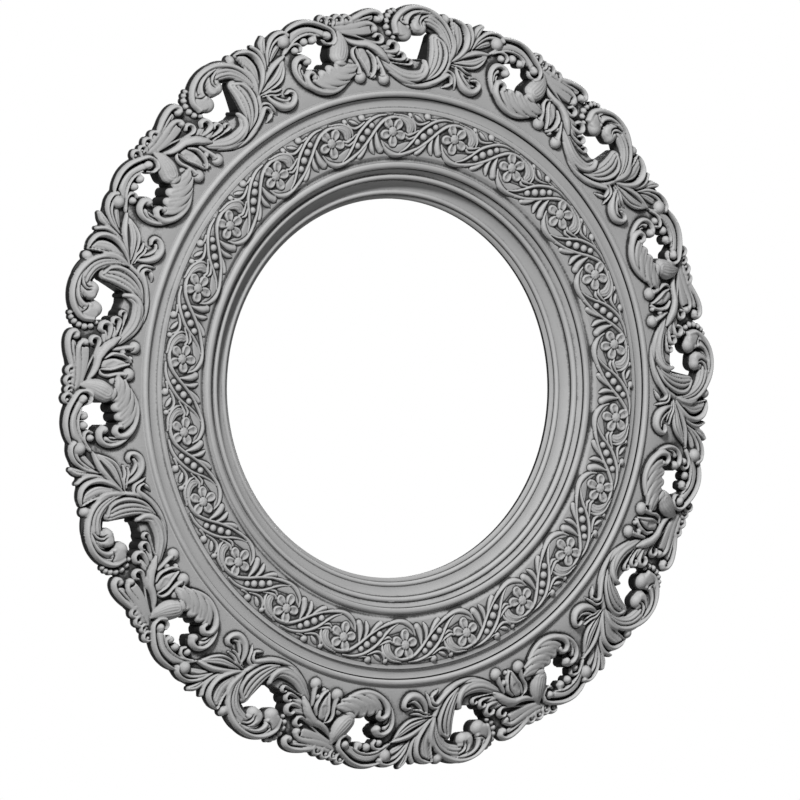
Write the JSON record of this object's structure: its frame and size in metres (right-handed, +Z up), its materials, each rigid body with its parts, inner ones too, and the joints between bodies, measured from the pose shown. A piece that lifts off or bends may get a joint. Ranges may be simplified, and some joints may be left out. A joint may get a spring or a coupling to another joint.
{
  "type": "round mirror frame",
  "caption": "Round wall mirror frame with turned mouldings, a carved flower frieze and a pierced, scrolling leaf border; open at the middle for the glass.",
  "frame": {"origin": "on the frame's turning axis, in the plane of its wooden back", "axes": "+Z up as it hangs, +Y backwards to the wall, so the carved face looks along -Y; +X to the right seen from the front"},
  "size_m": [0.9055, 0.0483, 0.9036],
  "materials": {
    "painted_wood": "carved wood in matte grey paint",
    "painted_moulding": "turned wood in matte grey paint",
    "bare_wood": "sawn, unpainted",
    "hardwood": "planed, unpainted",
    "brass": "rolled, slightly dulled",
    "steel": "zinc-plated",
    "felt": "wool felt"
  },
  "bodies": {
    "frame": {"sight_ring": "painted_moulding", "rebate_ring": "bare_wood", "inner_moulding": "painted_moulding", "outer_moulding": "painted_moulding", "frieze_panel_1": "painted_wood", "frieze_panel_2": "painted_wood", "frieze_panel_3": "painted_wood", "frieze_panel_4": "painted_wood", "frieze_panel_5": "painted_wood", "frieze_panel_6": "painted_wood", "frieze_panel_7": "painted_wood", "frieze_panel_8": "painted_wood", "frieze_panel_9": "painted_wood", "frieze_panel_10": "painted_wood", "frieze_panel_11": "painted_wood", "border_section_1": "painted_wood", "border_section_2": "painted_wood", "border_section_3": "painted_wood", "border_section_4": "painted_wood", "border_section_5": "painted_wood", "border_section_6": "painted_wood", "border_section_7": "painted_wood", "border_section_8": "painted_wood", "border_section_9": "painted_wood", "core_segment_1": "bare_wood", "core_key_1": "hardwood", "core_segment_2": "bare_wood", "core_key_2": "hardwood", "core_segment_3": "bare_wood", "core_key_3": "hardwood", "core_segment_4": "bare_wood", "core_key_4": "hardwood", "core_segment_5": "bare_wood", "core_key_5": "hardwood", "pivot_screw_1": "brass", "pivot_screw_2": "brass", "pivot_screw_3": "brass", "pivot_screw_4": "brass", "hanger_strap_left": "steel", "hanger_screw_left_1": "steel", "hanger_screw_left_2": "steel", "hanger_strap_right": "steel", "hanger_screw_right_1": "steel", "hanger_screw_right_2": "steel", "wall_pad_left": "felt", "wall_pad_right": "felt"},
    "turn_button_1": {"turn_button_1": "brass"},
    "turn_button_2": {"turn_button_2": "brass"},
    "turn_button_3": {"turn_button_3": "brass"},
    "turn_button_4": {"turn_button_4": "brass"},
    "hanger_ring_left": {"hanger_ring_left": "steel"},
    "hanger_ring_right": {"hanger_ring_right": "steel"}
  },
  "joints": [
    {"name": "turn_button_1_pivot", "type": "hinge", "parent": "frame", "child": "turn_button_1", "pos_m": [0.17034, 0.0011, 0.17034], "axis": [0, 1, 0], "continuous": true},
    {"name": "turn_button_2_pivot", "type": "hinge", "parent": "frame", "child": "turn_button_2", "pos_m": [0.17034, 0.0011, -0.17034], "axis": [0, 1, 0], "continuous": true},
    {"name": "turn_button_3_pivot", "type": "hinge", "parent": "frame", "child": "turn_button_3", "pos_m": [-0.17034, 0.0011, -0.17034], "axis": [0, 1, 0], "continuous": true},
    {"name": "turn_button_4_pivot", "type": "hinge", "parent": "frame", "child": "turn_button_4", "pos_m": [-0.17034, 0.0011, 0.17034], "axis": [0, 1, 0], "continuous": true},
    {"name": "hanger_ring_left_swing", "type": "hinge", "parent": "frame", "child": "hanger_ring_left", "pos_m": [-0.2754, 0.0036, 0.159], "axis": [1, 0, 0], "range_deg": [0, 180]},
    {"name": "hanger_ring_right_swing", "type": "hinge", "parent": "frame", "child": "hanger_ring_right", "pos_m": [0.2754, 0.0036, 0.159], "axis": [1, 0, 0], "range_deg": [0, 180]}
  ]
}
